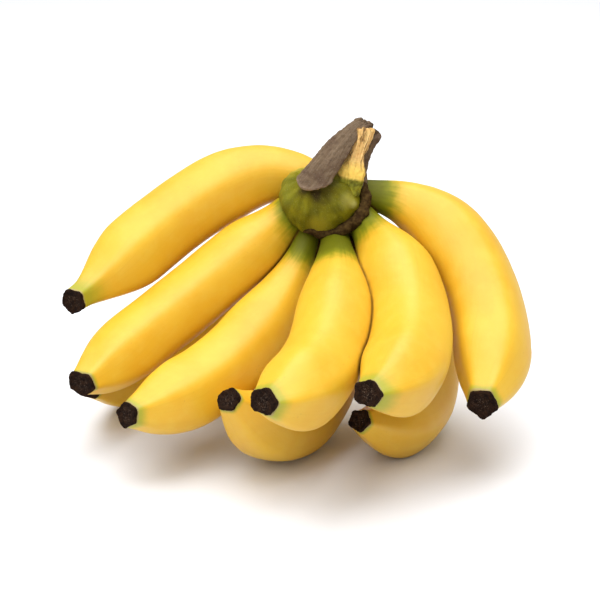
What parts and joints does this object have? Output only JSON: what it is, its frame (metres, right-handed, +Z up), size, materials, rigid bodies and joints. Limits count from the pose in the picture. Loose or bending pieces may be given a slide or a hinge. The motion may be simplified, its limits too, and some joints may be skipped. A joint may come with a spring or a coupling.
{
  "type": "hand of small bananas",
  "caption": "Hand of short, stubby ripe bananas on their shared green crown, with a cut stub of the bunch stalk, resting on the bellies of its lower fingers.",
  "frame": {"origin": "middle of the bottom of the hand's bounding box, on the surface that it rests on", "axes": "+Z up; +X to the right as seen by a viewer whom the fingers' ends point at; -Y towards that viewer"},
  "size_m": [0.2027, 0.1585, 0.1422],
  "materials": {
    "banana_skin": "waxy yellow fruit skin with a soft sheen, green at the necks",
    "green_crown": "olive green cushion of fruit skin with a brown rim",
    "dried_stalk": "dry grey-brown fibrous bark with a tan cut face",
    "dried_flower": "dull, nearly black cork"
  },
  "bodies": {
    "root": {"finger_1": "banana_skin", "finger_2": "banana_skin", "finger_3": "banana_skin", "finger_4": "banana_skin", "finger_5": "banana_skin", "finger_6": "banana_skin", "finger_7": "banana_skin", "finger_8": "banana_skin", "finger_9": "banana_skin", "flower_end_1": "dried_flower", "flower_end_2": "dried_flower", "flower_end_3": "dried_flower", "flower_end_4": "dried_flower", "flower_end_5": "dried_flower", "flower_end_6": "dried_flower", "flower_end_7": "dried_flower", "flower_end_8": "dried_flower", "flower_end_9": "dried_flower", "crown": "green_crown", "stalk": "dried_stalk"}
  },
  "joints": []
}
